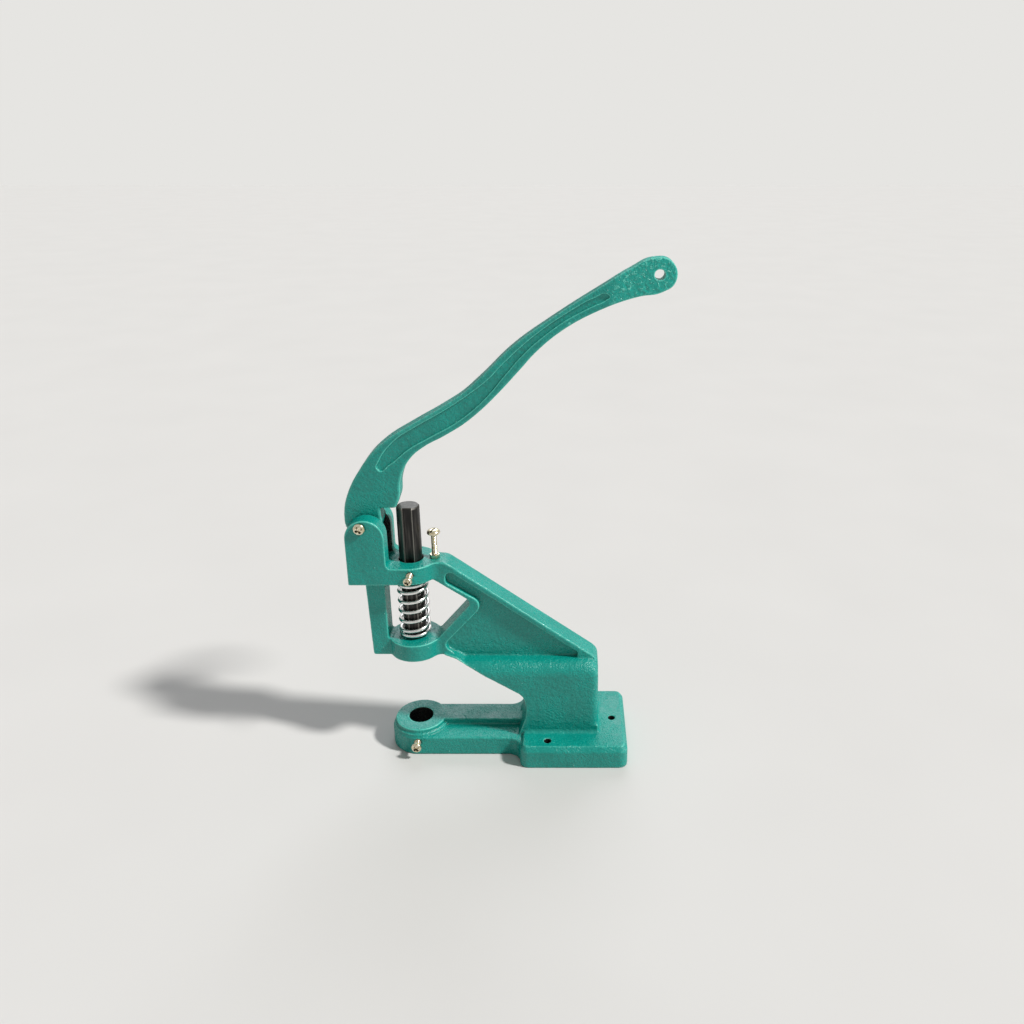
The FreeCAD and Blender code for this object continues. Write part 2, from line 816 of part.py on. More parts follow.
def spring_height(turn):
    """Height of the wire's centre-line above the lower boss after this many turns."""
    closed = size("spring_closed_pitch")
    wire = size("spring_wire_radius")
    bottom = size("lower_boss_top") + wire + 0.18
    top = size("ring_top") - size("ring_thickness") - size("washer_thickness") - wire - 0.18
    first = size("spring_closed_turns_below")
    last = size("spring_turns") - size("spring_closed_turns_above")
    pitch = (top - bottom - closed * (size("spring_turns") - last + first)) / (last - first)
    ramp = 0.15
    height = bottom + closed * turn
    rate = pitch - closed
    for change, sign in ((first, 1), (last, -1)):
        past = turn - change
        if past > ramp:
            height += sign * rate * past
        elif past > -ramp:
            height += sign * rate * (past + ramp) ** 2 / (4 * ramp)
    return height


def return_spring():
    radius = size("spring_mean_radius")
    wire_radius = size("spring_wire_radius")
    turns = size("spring_turns")
    start_angle = math.radians(size("spring_start_angle"))

    def point(turn):
        angle = start_angle + 2 * math.pi * turn
        return vector(radius * math.cos(angle), radius * math.sin(angle), spring_height(turn))

    def way(turn):
        step = 1e-4
        return (point(turn + step) - point(turn - step)).normalize()

    count = round(turns * 2)
    knots = [turns * index / count for index in range(count + 1)]
    edges = [Part.LineSegment(point(0) - way(0) * 2 * wire_radius, point(0)).toShape()]
    for here, following in zip(knots, knots[1:]):
        arcs = biarc(point(here), way(here), point(following), way(following))
        edges += [arc.toShape() for arc in arcs]
    edges.append(Part.LineSegment(point(turns), point(turns) + way(turns) * 2 * wire_radius).toShape())
    path = Part.Wire(edges)
    section = Part.Wire([Part.Circle(point(0) - way(0) * 2 * wire_radius, way(0), wire_radius).toShape()])
    sweep = Part.BRepOffsetAPI.MakePipeShell(path)
    sweep.add(section, False, False)
    sweep.build()
    sweep.makeSolid()

    # Least gap between neighbouring coils, measured on points of the centre-line
    samples = path.discretize(Number=1400)
    per_turn = len(samples) / turns
    least = min(
        samples[index].distanceToPoint(samples[other])
        for index in range(0, len(samples), 3)
        for other in range(index + int(0.6 * per_turn), min(len(samples), index + int(1.4 * per_turn)), 3)
    )
    print("spring: least gap between coils %.2f mm" % (least - 2 * wire_radius))
    feature = doc.addObject("Part::Feature", "return_spring")
    feature.Shape = sweep.shape()
    return feature


boss_face = cell("guide_boss_radius")
arm_face = cell("arm_half_width")
pivot_end = "-" + boss_face + " - 5"
pivot_reach = "2 * " + boss_face + " + 5"
guide_head = boss_face + " + " + cell("guide_screw_proud")
clamp_head = arm_face + " + " + cell("clamp_screw_proud")
stop_end = cell("stop_screw_end")
stop_reach = cell("stop_head_bottom") + " - " + stop_end

frame_casting()
lever()
ram()
flat_ring(
    "retaining_ring",
    cell("ring_top") + " - " + cell("ring_thickness"),
    cell("ring_thickness"),
    "ring_outer_radius",
    "ring_inner_radius",
    "ring_mouth",
)
flat_ring(
    "spring_washer",
    cell("ring_top") + " - " + cell("ring_thickness") + " - " + cell("washer_thickness"),
    cell("washer_thickness"),
    "washer_outer_radius",
    "washer_inner_radius",
)
return_spring()
screw("pivot_screw", "XZ_Plane", [
    ("shank", pivot_end, pivot_reach, "pivot_screw_radius", "-pivot_x", "pivot_height"),
    ("head", boss_face, cell("head_height"), "pivot_head_radius", "-pivot_x", "pivot_height"),
], "0.9")
nut(
    "pivot_nut",
    "XZ_Plane",
    "-" + boss_face + " - " + cell("pivot_nut_thickness"),
    cell("pivot_nut_thickness"),
    "pivot_nut_radius",
    "pivot_hole_radius",
    "-pivot_x",
    "pivot_height",
)
screw("guide_screw", "XZ_Plane", [
    ("point", "5", "3", "guide_point_radius", "guide_screw_x", "guide_screw_height"),
    ("shank", "7", guide_head + " - 7", "screw_radius", "guide_screw_x", "guide_screw_height"),
    ("head", guide_head, cell("head_height"), "guide_head_radius", "guide_screw_x", "guide_screw_height"),
], "0.8")
screw("die_clamp_screw", "XZ_Plane", [
    ("shank", "7.8", clamp_head + " - 7.8", "screw_radius", None, "clamp_screw_height"),
    ("head", clamp_head, cell("head_height"), "clamp_head_radius", None, "clamp_screw_height"),
], "0.8")
screw("stop_screw", "XY_Plane", [
    ("shank", stop_end, stop_reach, "stop_screw_radius", "stop_screw_x", None),
    ("head", cell("stop_head_bottom"), cell("stop_head_height"), "stop_head_radius", "stop_screw_x", None),
], "1.2")
nut(
    "stop_lock_nut",
    "XY_Plane",
    cell("upper_boss_top"),
    cell("stop_nut_thickness"),
    "stop_nut_radius",
    "stop_hole_radius",
    "stop_screw_x",
)

doc.recompute()
NODES = (
    "frame_casting",
    "lever",
    "ram",
    "retaining_ring",
    "spring_washer",
    "return_spring",
    "pivot_screw",
    "pivot_nut",
    "guide_screw",
    "die_clamp_screw",
    "stop_screw",
    "stop_lock_nut",
)
for item in doc.Objects:
    if "Invalid" in item.State or "Error" in item.State:
        raise RuntimeError("broken object: " + item.Label)

os.makedirs("parts", exist_ok=True)
for label in NODES:
    shape = doc.getObjectsByLabel(label)[0].Shape
    if shape.isNull() or not shape.isValid() or len(shape.Solids) != 1:
        raise RuntimeError("bad shape: " + label)
    shape.exportStep("parts/%s.step" % label)
    box = shape.BoundBox
    print("%-16s %9.1f mm3  X %.1f..%.1f  Y %.1f..%.1f  Z %.1f..%.1f" % (
        label, shape.Volume, box.XMin, box.XMax, box.YMin, box.YMax, box.ZMin, box.ZMax,
    ))
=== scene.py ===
"""Looks of a cast hand press for eyelets: enamelled castings, blackened ram, plated screws.

Metres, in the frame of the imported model: +X towards the foot, +Y away from the screw
heads, +Z up, with the lower die hole's axis on the table as the origin.
"""
import math

import bpy
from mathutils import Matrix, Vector


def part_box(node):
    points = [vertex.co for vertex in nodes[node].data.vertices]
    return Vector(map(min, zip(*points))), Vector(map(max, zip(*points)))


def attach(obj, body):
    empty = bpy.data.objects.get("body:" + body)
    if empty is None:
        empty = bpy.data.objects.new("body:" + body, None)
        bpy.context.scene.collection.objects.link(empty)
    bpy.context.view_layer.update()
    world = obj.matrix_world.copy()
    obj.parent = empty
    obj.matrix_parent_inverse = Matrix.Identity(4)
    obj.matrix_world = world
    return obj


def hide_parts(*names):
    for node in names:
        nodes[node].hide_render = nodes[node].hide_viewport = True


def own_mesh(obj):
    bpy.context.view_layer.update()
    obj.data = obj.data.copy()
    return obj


MM = 0.001
X, Y, Z = range(3)

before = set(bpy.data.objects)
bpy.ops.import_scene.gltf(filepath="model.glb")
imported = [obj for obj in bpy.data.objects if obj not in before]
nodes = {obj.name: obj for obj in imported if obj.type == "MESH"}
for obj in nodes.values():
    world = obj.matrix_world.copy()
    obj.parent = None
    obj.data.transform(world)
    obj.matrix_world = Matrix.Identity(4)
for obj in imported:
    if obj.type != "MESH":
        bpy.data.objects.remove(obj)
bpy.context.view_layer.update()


# Colour and node helpers


def linear(hex_colour):
    """Linear colour with alpha from an sRGB hex value such as 1F8F7B."""
    channels = []
    for start in (0, 2, 4):
        value = int(hex_colour[start:start + 2], 16) / 255
        channels.append(value / 12.92 if value <= 0.04045 else ((value + 0.055) / 1.055) ** 2.4)
    return (*channels, 1.0)


def add_node(tree, kind, settings=None, **inputs):
    """Adds a shader node; inputs name its sockets, or number them as n6, and what fills them."""
    node = tree.nodes.new(kind)
    for name, value in (settings or {}).items():
        setattr(node, name, value)
    for name, value in inputs.items():
        numbered = name[0] == "n" and name[1:].isdigit()
        socket = node.inputs[int(name[1:]) if numbered else name.replace("_", " ")]
        if isinstance(value, bpy.types.NodeSocket):
            tree.links.new(value, socket)
        else:
            socket.default_value = value
    return node


SMOOTH = {"interpolation_type": "SMOOTHSTEP"}
COLOURS = {"data_type": "RGBA"}


def start_material(name):
    """Material with no nodes but the coordinates of the piece's own mesh."""
    material = bpy.data.materials.new(name)
    material.use_nodes = True
    material.node_tree.nodes.clear()
    place = add_node(material.node_tree, "ShaderNodeTexCoord").outputs["Object"]
    return material, material.node_tree, place


def lay_tint(tree, under, tint, reading, start, full, share=1.0):
    """Lays a tint over a colour: none where the reading is at start, its share at full."""
    amount = add_node(
        tree, "ShaderNodeMapRange", SMOOTH, Value=reading, From_Min=start, From_Max=full,
        To_Max=share,
    )
    mixed = add_node(
        tree, "ShaderNodeMix", COLOURS, n0=amount.outputs[0], n6=under, n7=linear(tint),
    )
    return mixed.outputs[2]


def finish_material(tree, colour, noise, roughness, **sockets):
    """Ends a material with a shader whose roughness follows a noise between two values."""
    sheen = add_node(
        tree, "ShaderNodeMapRange", Value=noise.outputs["Fac"], From_Min=0.3, From_Max=0.7,
        To_Min=roughness[0], To_Max=roughness[1],
    )
    shader = add_node(
        tree, "ShaderNodeBsdfPrincipled", Base_Color=colour, Roughness=sheen.outputs[0],
        **sockets,
    )
    add_node(tree, "ShaderNodeOutputMaterial", Surface=shader.outputs[0])


# Enamel

# Pointiness at which a ridge starts to pale, as thinner enamel with a painted highlight, and at
# which it is palest; then the share of painted shade in a corner
ENAMEL_EDGES = {"frame": (0.508, 0.55, 0.8), "lever": (0.504, 0.53, 0.4)}

# Holes of the frame along Z, painted dark as bare iron with painted shade in their depth, as
# centre on the +Y side and radius just past the wall
BARE_AND_SHADED_HOLES = (
    ((0.0, 0.0, 0.0), 7.65 * MM),
    ((80.9 * MM, 22.9 * MM, 0.0), 2.25 * MM),
    ((121.2 * MM, 0.0, 0.0), 2.25 * MM),
)
# The fork's inner faces: just past their distance from the middle, and from what height
CHEEK_FACE = 6.15 * MM
CHEEK_FOOT = 129.2 * MM


def bare_iron_and_shade_mask(tree, place):
    """1 in the ram's bore and the die hole, between the fork's cheeks and in the bolt holes."""
    parts = add_node(tree, "ShaderNodeSeparateXYZ", Vector=place)
    depth = add_node(tree, "ShaderNodeMath", {"operation": "ABSOLUTE"}, n0=parts.outputs["Y"])
    inside = add_node(
        tree, "ShaderNodeMath", {"operation": "LESS_THAN"}, n0=depth.outputs[0], n1=CHEEK_FACE,
    )
    above = add_node(
        tree, "ShaderNodeMath", {"operation": "GREATER_THAN"}, n0=parts.outputs["Z"],
        n1=CHEEK_FOOT,
    )
    mask = add_node(
        tree, "ShaderNodeMath", {"operation": "MULTIPLY"}, n0=inside.outputs[0],
        n1=above.outputs[0],
    )
    folded = add_node(tree, "ShaderNodeCombineXYZ", X=parts.outputs["X"], Y=depth.outputs[0])
    for centre, radius in BARE_AND_SHADED_HOLES:
        away = add_node(
            tree, "ShaderNodeVectorMath", {"operation": "DISTANCE"}, n0=folded.outputs[0],
            n1=centre,
        )
        hole = add_node(
            tree, "ShaderNodeMath", {"operation": "LESS_THAN"}, n0=away.outputs["Value"],
            n1=radius,
        )
        mask = add_node(
            tree, "ShaderNodeMath", {"operation": "MAXIMUM"}, n0=mask.outputs[0],
            n1=hole.outputs[0],
        )
    return mask.outputs[0]


def paddle_worms(tree, place):
    """Share of the lever's thumb paddle, and of the raised worms on it, which carry a painted
    highlight.
    """
    along = add_node(tree, "ShaderNodeSeparateXYZ", Vector=place).outputs["X"]
    paddle = add_node(
        tree, "ShaderNodeMapRange", SMOOTH, Value=along, From_Min=112 * MM, From_Max=124 * MM,
    )
    noise = add_node(
        tree, "ShaderNodeTexNoise", Vector=place, Scale=1 / (1.7 * MM), Detail=1.0,
        Distortion=0.9,
    )
    worms = add_node(
        tree, "ShaderNodeMapRange", SMOOTH, Value=noise.outputs["Fac"], From_Min=0.56,
        From_Max=0.68, To_Max=0.8,
    )
    raised = add_node(
        tree, "ShaderNodeMath", {"operation": "MULTIPLY"}, n0=worms.outputs[0],
        n1=paddle.outputs[0],
    )
    return paddle.outputs[0], raised.outputs[0]


def sand_cast_enamel(name, part):
    """Thick green enamel over sand-cast iron: glossy orange peel with the sand's grain
    under it, thin and pale on the ridges with a painted highlight there, and painted shade in the
    corners."""
    ridge_start, ridge_full, corner_share = ENAMEL_EDGES[part]
    nib_edge, nib_core = 0.085, 0.03
    material, tree, place = start_material(name)
    patches = add_node(tree, "ShaderNodeTexNoise", Vector=place, Scale=1 / (18 * MM), Detail=2.0)
    peel = add_node(tree, "ShaderNodeTexNoise", Vector=place, Scale=1 / (3.0 * MM), Detail=1.0)
    grain = add_node(
        tree, "ShaderNodeTexNoise", Vector=place, Scale=1 / (1.05 * MM), Detail=2.0,
        Roughness=0.6,
    )
    nibs = add_node(tree, "ShaderNodeTexVoronoi", Vector=place, Scale=1 / (7.0 * MM))
    edge = add_node(tree, "ShaderNodeNewGeometry").outputs["Pointiness"]

    # Wide faint patches, grain that shows through, pale ridges (thinner enamel and a painted
    # highlight), painted shade in the corners, and a painted highlight on the nibs
    colour = linear("028B80")
    for tint, reading, start, full, share in (
        ("04978B", patches.outputs["Fac"], 0.35, 0.65, 1.0),
        ("35B9A8", grain.outputs["Fac"], 0.52, 0.75, 0.35),
        ("62D2C0", edge, ridge_start, ridge_full, 0.75),
        ("02564C", edge, 0.49, 0.44, corner_share),
        ("8FE3D6", nibs.outputs["Distance"], nib_edge, nib_core, 0.45),
    ):
        colour = lay_tint(tree, colour, tint, reading, start, full, share)
    if part == "frame":
        # Bare machined iron, dark with old grease, and painted shade down the deep holes
        dressed = add_node(
            tree, "ShaderNodeMix", COLOURS, n0=bare_iron_and_shade_mask(tree, place), n6=colour,
            n7=linear("1F211F"),
        )
    else:
        # The thumb paddle is paler, and its worms paler still, as a painted highlight on them
        paddle, worms = paddle_worms(tree, place)
        bright = add_node(
            tree, "ShaderNodeMix", {**COLOURS, "blend_type": "SCREEN"}, n0=paddle, n6=colour,
            n7=linear("086B5D"),
        )
        dressed = add_node(
            tree, "ShaderNodeMix", COLOURS, n0=worms, n6=bright.outputs[2], n7=linear("6ADBC9"),
        )
    # Painted shade in deep holes and narrow pockets, from ambient occlusion
    occlusion_shade = add_node(tree, "ShaderNodeAmbientOcclusion", {"samples": 6}, Distance=2.5 * MM)
    colour = lay_tint(
        tree, dressed.outputs[2], "0A2C27", occlusion_shade.outputs["AO"], start=0.55, full=0.2,
        share=0.85,
    )

    # Orange peel, the sand's grain, which stands out most in rough patches, and nibs
    rough_patch = add_node(
        tree, "ShaderNodeMapRange", SMOOTH, Value=patches.outputs["Fac"], From_Min=0.4,
        From_Max=0.62, To_Min=0.4, To_Max=1.0,
    )
    nib = add_node(
        tree, "ShaderNodeMapRange", SMOOTH, Value=nibs.outputs["Distance"], From_Min=nib_edge,
        From_Max=nib_core,
    )
    waves = add_node(
        tree, "ShaderNodeBump", Height=peel.outputs["Fac"], Distance=0.45 * MM, Strength=1.0,
    )
    sand = add_node(
        tree, "ShaderNodeBump", Height=grain.outputs["Fac"], Distance=0.65 * MM,
        Strength=rough_patch.outputs[0], Normal=waves.outputs[0],
    )
    surface = add_node(
        tree, "ShaderNodeBump", Height=nib.outputs[0], Distance=0.3 * MM, Strength=1.0,
        Normal=sand.outputs[0],
    )
    if part == "lever":
        surface = add_node(
            tree, "ShaderNodeBump", Height=worms, Distance=0.35 * MM, Strength=1.0,
            Normal=surface.outputs[0],
        )
    # The grain breaks up the reflection at a glancing angle
    facing = add_node(tree, "ShaderNodeLayerWeight", Blend=0.5).outputs["Facing"]
    gloss = add_node(
        tree, "ShaderNodeMapRange", SMOOTH, Value=facing, From_Min=0.5, From_Max=0.88,
        To_Min=0.5, To_Max=0.03,
    )
    finish_material(
        tree, colour, grain, roughness=(0.22, 0.38), Normal=surface.outputs[0],
        Specular_IOR_Level=gloss.outputs[0],
    )
    return material


# Metals and the table


def blackened_steel():
    """Turned bar with a black oxide finish: near black with a soft sheen, fine turning
    rings and faint rubbed streaks along the stroke."""
    pale_end_start, pale_end_full = 161.2 * MM, 161.8 * MM
    keyway_middle, keyway_half, edge_half = 0.2 * MM, 2.85 * MM, 0.4 * MM
    keyway_side = -4.5 * MM
    material, tree, place = start_material("blackened_steel")
    parts = add_node(tree, "ShaderNodeSeparateXYZ", Vector=place)
    rings = add_node(
        tree, "ShaderNodeTexNoise", {"noise_dimensions": "1D"}, W=parts.outputs["Z"],
        Scale=1 / (0.5 * MM), Detail=2.0,
    )
    stretched = add_node(tree, "ShaderNodeMapping", Vector=place, Scale=(1.0, 1.0, 0.08))
    streaks = add_node(
        tree, "ShaderNodeTexNoise", Vector=stretched.outputs[0], Scale=1 / (1.6 * MM),
        Detail=2.0,
    )
    bar = lay_tint(
        tree, linear("191817"), "4A4743", streaks.outputs["Fac"], start=0.45, full=0.75,
    )
    # The upper end is paler, and a painted highlight runs along the keyway's edges
    pale_upper_end = add_node(
        tree, "ShaderNodeMapRange", SMOOTH, Value=parts.outputs["Z"], From_Min=pale_end_start,
        From_Max=pale_end_full, To_Max=0.4,
    )
    sideways = add_node(
        tree, "ShaderNodeMath", {"operation": "SUBTRACT"}, n0=parts.outputs["X"],
        n1=keyway_middle,
    )
    off_centre = add_node(
        tree, "ShaderNodeMath", {"operation": "ABSOLUTE"}, n0=sideways.outputs[0],
    )
    on_edge = add_node(
        tree, "ShaderNodeMath", {"operation": "COMPARE"}, n0=off_centre.outputs[0],
        n1=keyway_half, n2=edge_half,
    )
    in_front = add_node(
        tree, "ShaderNodeMath", {"operation": "LESS_THAN"}, n0=parts.outputs["Y"],
        n1=keyway_side,
    )
    keyway_edge_highlight = add_node(
        tree, "ShaderNodeMath", {"operation": "MULTIPLY"}, n0=on_edge.outputs[0],
        n1=in_front.outputs[0],
    )
    pale_end_and_highlight = add_node(
        tree, "ShaderNodeMath", {"operation": "MAXIMUM"}, n0=pale_upper_end.outputs[0],
        n1=keyway_edge_highlight.outputs[0],
    )
    colour = add_node(
        tree, "ShaderNodeMix", COLOURS, n0=pale_end_and_highlight.outputs[0], n6=bar, n7=linear("6E6C67"),
    )
    soft_edge = add_node(tree, "ShaderNodeBevel", {"samples": 4}, Radius=0.35 * MM)
    surface = add_node(
        tree, "ShaderNodeBump", Height=rings.outputs["Fac"], Distance=0.012 * MM, Strength=1.0,
        Normal=soft_edge.outputs[0],
    )
    finish_material(
        tree, colour.outputs[2], streaks, roughness=(0.42, 0.28), Metallic=0.5,
        Normal=surface.outputs[0],
    )
    return material


def bright_spring_wire():
    """Drawn wire with bright zinc plating: mirror-like, faintly cloudy along its length."""
    material, tree, place = start_material("bright_spring_wire")
    cloud = add_node(tree, "ShaderNodeTexNoise", Vector=place, Scale=1 / (2.5 * MM), Detail=3.0)
    colour = lay_tint(
        tree, linear("DEDDDB"), "F4F3F1", cloud.outputs["Fac"], start=0.3, full=0.7,
    )
    finish_material(tree, colour, cloud, roughness=(0.18, 0.3), Metallic=1.0)
    return material


def yellow_zinc_plate():
    """Screws with yellow zinc plating: bright and pale, with a warm iridescent mottle."""
    material, tree, place = start_material("yellow_zinc_plate")
    cloud = add_node(tree, "ShaderNodeTexNoise", Vector=place, Scale=1 / (1.4 * MM), Detail=3.0)
    plate = lay_tint(
        tree, linear("CFC29E"), "F2ECD9", cloud.outputs["Fac"], start=0.38, full=0.66,
    )
    # Painted shade in the driver recess and the thread's roots, from ambient occlusion
    occlusion_shade = add_node(tree, "ShaderNodeAmbientOcclusion", {"samples": 8}, Distance=1.2 * MM)
    colour = lay_tint(tree, plate, "2C2114", occlusion_shade.outputs["AO"], start=0.8, full=0.4)
    soft_edge = add_node(tree, "ShaderNodeBevel", {"samples": 4}, Radius=0.15 * MM)
    finish_material(
        tree, colour, cloud, roughness=(0.32, 0.18), Metallic=1.0, Normal=soft_edge.outputs[0],
    )
    return material


def oiled_spring_steel():
    """Stamped spring steel under oil: dark grey and satin, for the ring and its washer."""
    material, tree, place = start_material("oiled_spring_steel")
    cloud = add_node(tree, "ShaderNodeTexNoise", Vector=place, Scale=1 / (2.0 * MM), Detail=3.0)
    colour = lay_tint(
        tree, linear("5A5A5B"), "7E7E80", cloud.outputs["Fac"], start=0.35, full=0.65,
    )
    soft_edge = add_node(tree, "ShaderNodeBevel", {"samples": 4}, Radius=0.15 * MM)
    finish_material(
        tree, colour, cloud, roughness=(0.26, 0.4), Metallic=1.0, Normal=soft_edge.outputs[0],
    )
    return material


def pale_table_top():
    """Matt laminate table under the press: pale, with hardly any mottle."""
    material, tree, place = start_material("pale_table_top")
    cloud = add_node(tree, "ShaderNodeTexNoise", Vector=place, Scale=1 / (120 * MM), Detail=2.0)
    colour = add_node(
        tree, "ShaderNodeMix", COLOURS, n0=cloud.outputs["Fac"], n6=linear("D2D2D1"),
        n7=linear("D7D7D6"),
    )
    shader = add_node(
        tree, "ShaderNodeBsdfPrincipled", Base_Color=colour.outputs[2], Roughness=0.9,
        Specular_IOR_Level=0.1,
    )
    add_node(tree, "ShaderNodeOutputMaterial", Surface=shader.outputs[0])
    return material


# Making pieces

# Cell of the castings' new mesh
VOXEL = 0.5 * MM


def work_on(piece):
    """Leaves only this piece selected and active."""
    bpy.ops.object.select_all(action="DESELECT")
    piece.select_set(True)
    bpy.context.view_layer.objects.active = piece


def finish_modifier(piece, name, kind, **settings):
    """Adds a modifier with its settings and applies it."""
    modifier = piece.modifiers.new(name, kind)
    for setting, value in settings.items():
        setattr(modifier, setting, value)
    work_on(piece)
    bpy.ops.object.modifier_apply(modifier=name)


def dress_piece(piece, material, body, slot, *replaced):
    """Gives a piece its material, the body that it rides on and the node that it stands for."""
    piece.data.materials.clear()
    piece.data.materials.append(material)
    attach(piece, body)
    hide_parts(*replaced)


def middle_of(node):
    """Middle of a node's box."""
    low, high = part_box(node)
    return [(first + second) / 2 for first, second in zip(low, high)]


def ramp(value, start, length):
    """0 up to start, 1 from start plus length, and straight between them."""
    return min(max((value - start) / length, 0.0), 1.0)


def soft_edged_copy(node, name, rounds, added=(), corners=()):
    """Copy of a CAD casting whose edges and corners are rounded all over, as sand casting
    and thick enamel round them. Added solids melt into it, and corners are rounded more."""
    piece = bpy.data.objects.new(name, nodes[node].data.copy())
    bpy.context.collection.objects.link(piece)
    work_on(piece)
    bpy.ops.object.mode_set(mode="EDIT")
    bpy.ops.mesh.select_all(action="SELECT")
    bpy.ops.mesh.remove_doubles(threshold=0.005 * MM)
    bpy.ops.object.mode_set(mode="OBJECT")
    if added:
        for solid in added:
            solid.select_set(True)
        bpy.ops.object.join()
    finish_modifier(piece, "even_mesh", "REMESH", mode="VOXEL", voxel_size=VOXEL)
    for corner in corners:
        round_corner(piece, **corner)
    finish_modifier(piece, "round_edges", "SMOOTH", factor=0.5, iterations=rounds)
    return piece


def round_corner(piece, first, second, centre, radius, end_degrees, above):
    """Draws an outer corner in to an arc about the centre, from the first axis towards the
    second. It acts alike on both sides of the press, above a height."""
    reach = 1.6 * radius
    for vertex in piece.data.vertices:
        folded = (vertex.co.x, abs(vertex.co.y), vertex.co.z)
        across = folded[first] - centre[0]
        beyond = folded[second] - centre[1]
        out = math.hypot(across, beyond)
        degrees = math.degrees(math.atan2(beyond, across)) % 360
        if radius < out < reach and degrees <= end_degrees and vertex.co.z > above:
            for axis, middle, offset in ((first, centre[0], across), (second, centre[1], beyond)):
                moved = middle + offset * radius / out
                vertex.co[axis] = math.copysign(moved, vertex.co[axis]) if axis == Y else moved


def ream(piece, centre, axis, radius, reach):
    """Makes a bore of the casting truly round again, as the machined holes are."""
    slack = 0.45 * MM
    way = Vector(axis).normalized()
    middle = Vector(centre)
    for vertex in piece.data.vertices:
        offset = vertex.co - middle
        along = offset.dot(way)
        out = offset - way * along
        if abs(along) < reach and 0.5 * radius < out.length < radius + slack:
            vertex.co = middle + way * along + out.normalized() * radius


# Frame casting


def throat_gusset(side):
    """Wedge that closes the foot of the web's recess and widens the web into the column's
    shoulder, so that the underside runs straight from the lower boss to the column."""
    # In mm: distance from the ram's axis, then for the inner and the outer face its distance
    # from the middle, and the heights of its lower and upper corners
    stations = (
        (18.0, (2.0, 65.7, 67.5), (8.2, 65.7, 67.0)),
        (25.4, (2.0, 65.0, 66.8), (10.4, 64.2, 65.6)),
        (31.0, (2.0, 61.6, 63.6), (12.1, 61.2, 62.0)),
        (46.0, (2.0, 53.4, 62.9), (14.9, 53.0, 56.0)),
    )
    bpy.ops.object.select_all(action="DESELECT")
    bpy.ops.mesh.primitive_plane_add(size=2.0, location=(0, 0, 0))
    wedge = bpy.context.object
    bpy.ops.object.mode_set(mode="EDIT")
    for _ in stations[1:]:
        bpy.ops.mesh.extrude_region_move(TRANSFORM_OT_translate={"value": (0, 0, 1)})
    bpy.ops.object.mode_set(mode="OBJECT")
    for vertex in wedge.data.vertices:
        x, inner, outer = stations[round(vertex.co.z)]
        y, bottom, top = outer if vertex.co.x > 0 else inner
        vertex.co = (x * MM, side * y * MM, (top if vertex.co.y > 0 else bottom) * MM)
    bpy.ops.object.mode_set(mode="EDIT")
    bpy.ops.mesh.select_all(action="SELECT")
    bpy.ops.mesh.normals_make_consistent(inside=False)
    bpy.ops.object.mode_set(mode="OBJECT")
    return wedge


def lower_shoulders(piece):
    """Lets the column's shoulders, on both sides of the web, fall away to their rear ends."""
    start = 104.0 * MM
    reach = 8.4 * MM
    for vertex in piece.data.vertices:
        here = vertex.co
        beside = ramp(abs(here.y), 7.0 * MM, 2.0 * MM)
        above = ramp(here.z, 40 * MM, 15 * MM)
        if here.x > start and beside > 0 and above > 0:
            along = min(here.x - start, 0.97 * reach)
            fall = reach - math.sqrt(reach**2 - along**2)
            vertex.co.z -= beside * above * fall * 0.8


def cast_frame(enamel):
    """Foot, column, web, pillar, guide bosses and fork, in one casting."""
    top_rear_corner = {
        "first": X, "second": Z, "centre": (102.0 * MM, 57.5 * MM), "radius": 10.0 * MM,
        "end_degrees": 54.1, "above": 50 * MM,
    }
    upright_rear_edges = {
        "first": X, "second": Y, "centre": (108.4 * MM, 11.3 * MM), "radius": 3.6 * MM,
        "end_degrees": 90, "above": 20 * MM,
    }
    piece = soft_edged_copy(
        "frame_casting", "cast_frame", rounds=5,
        added=(throat_gusset(-1), throat_gusset(1)),
        corners=(top_rear_corner, upright_rear_edges),
    )
    lower_shoulders(piece)
    ram_height = middle_of("ram")[Z]
    ream(piece, (0.0, 0.0, ram_height), (0, 0, 1), radius=6.95 * MM, reach=60 * MM)
    ream(piece, (0.0, 0.0, 0.0), (0, 0, 1), radius=7.5 * MM, reach=16.2 * MM)
    finish_modifier(piece, "fewer_faces", "DECIMATE", ratio=0.4)
    work_on(piece)
    bpy.ops.object.shade_smooth()
    dress_piece(piece, enamel, "frame", "green_paint", "frame_casting")


# Lever

LEVER_HALF = 5.5 * MM
HANG_HOLE = Vector((142.0 * MM, 0.0, 295.6 * MM))


def mark_paddle(piece):
    """Weights both faces of the thumb paddle, clear of the hang hole, for its cast bumps."""
    start, full = 116 * MM, 126 * MM
    lowest = 270 * MM
    face = LEVER_HALF - 0.2 * MM
    rim_radius = 3.8 * MM
    group = piece.vertex_groups.new(name="paddle")
    for vertex in piece.data.vertices:
        here = vertex.co
        share = ramp(here.x, start, full - start)
        near_hole = math.hypot(here.x - HANG_HOLE.x, here.z - HANG_HOLE.z) < rim_radius
        if share > 0 and abs(here.y) > face and here.z > lowest and not near_hole:
            group.add([vertex.index], share, "REPLACE")


def thin_lever(piece):
    """Makes the side channels shallower, and the lever thinner from its hub to the paddle."""
    channel = 2.4 * MM
    shallow = 1.4 * MM
    taper = 0.28
    taper_length = 120 * MM
    for vertex in piece.data.vertices:
        side = abs(vertex.co.y)
        if side > LEVER_HALF - channel:
            side = LEVER_HALF - (LEVER_HALF - side) * shallow / channel
        else:
            side *= (LEVER_HALF - shallow) / (LEVER_HALF - channel)
        thinned = 1 - taper * ramp(vertex.co.x, 0.0, taper_length)
        vertex.co.y = math.copysign(side * thinned, vertex.co.y)


